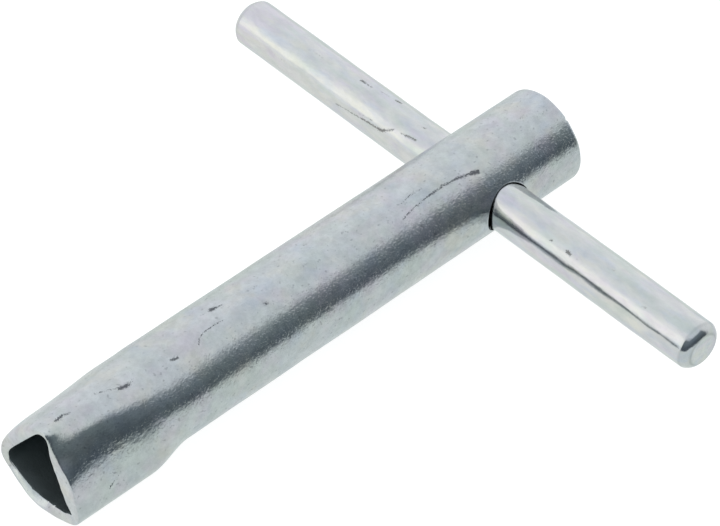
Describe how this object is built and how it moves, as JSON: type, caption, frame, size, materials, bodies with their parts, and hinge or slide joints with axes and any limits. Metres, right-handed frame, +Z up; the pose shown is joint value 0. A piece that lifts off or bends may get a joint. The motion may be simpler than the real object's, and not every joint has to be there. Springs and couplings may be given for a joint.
{
  "type": "radiator bleed key",
  "caption": "Tubular T-handle key with a formed triangular socket and a plain sliding bar through cross holes at the other end.",
  "frame": {"origin": "centre of the triangular socket's mouth, on the tube's axis", "axes": "key lying flat: +X along the tube from the mouth to the handle end, +Y along the bar, +Z up, square to both"},
  "size_m": [0.1, 0.1, 0.0173],
  "materials": {
    "tube_zinc": "bright zinc plated steel tube, fine grain, satin",
    "bar_zinc": "bright zinc plated steel bar, semi-gloss"
  },
  "bodies": {
    "tube": {"socket_tube": "tube_zinc"},
    "bar": {"tommy_bar": "bar_zinc"}
  },
  "joints": [
    {"name": "bar_slide", "type": "slide", "parent": "tube", "child": "bar", "axis": [0, 1, 0], "range_m": [-0.0428, 0.0392]}
  ]
}
